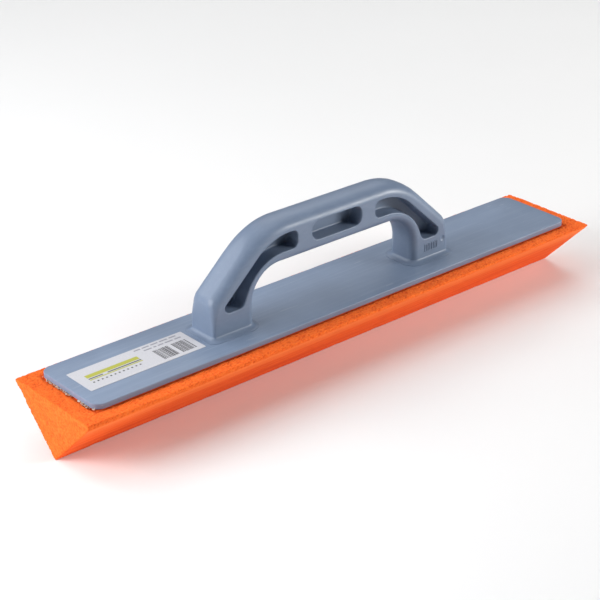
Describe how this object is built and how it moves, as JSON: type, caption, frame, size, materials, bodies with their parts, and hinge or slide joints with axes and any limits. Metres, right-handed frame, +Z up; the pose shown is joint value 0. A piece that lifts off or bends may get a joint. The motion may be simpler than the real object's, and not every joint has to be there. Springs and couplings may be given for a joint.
{
  "type": "corner sponge float",
  "caption": "Long plasterer's float with an arched handle, a flat plastic plate and a V-shaped sponge-rubber pad for inside corners.",
  "frame": {"origin": "middle of the pad's keel, where it touches the ground", "axes": "+X along the float, +Y towards its back, +Z up through the handle"},
  "size_m": [0.5, 0.088, 0.1243],
  "materials": {
    "handle_plastic": "satin moulded polypropylene",
    "plate_plastic": "satin sheet with faint lengthwise streaks",
    "adhesive": "cured contact adhesive, whitish where it squeezed out",
    "sponge_rubber": "open-cell orange sponge rubber",
    "label_paper": "smooth white paper with a printed pattern"
  },
  "bodies": {
    "root": {"handle": "handle_plastic", "base_plate": "plate_plastic", "adhesive_layer": "adhesive", "sponge_pad": "sponge_rubber", "label_sticker": "label_paper"}
  },
  "joints": []
}
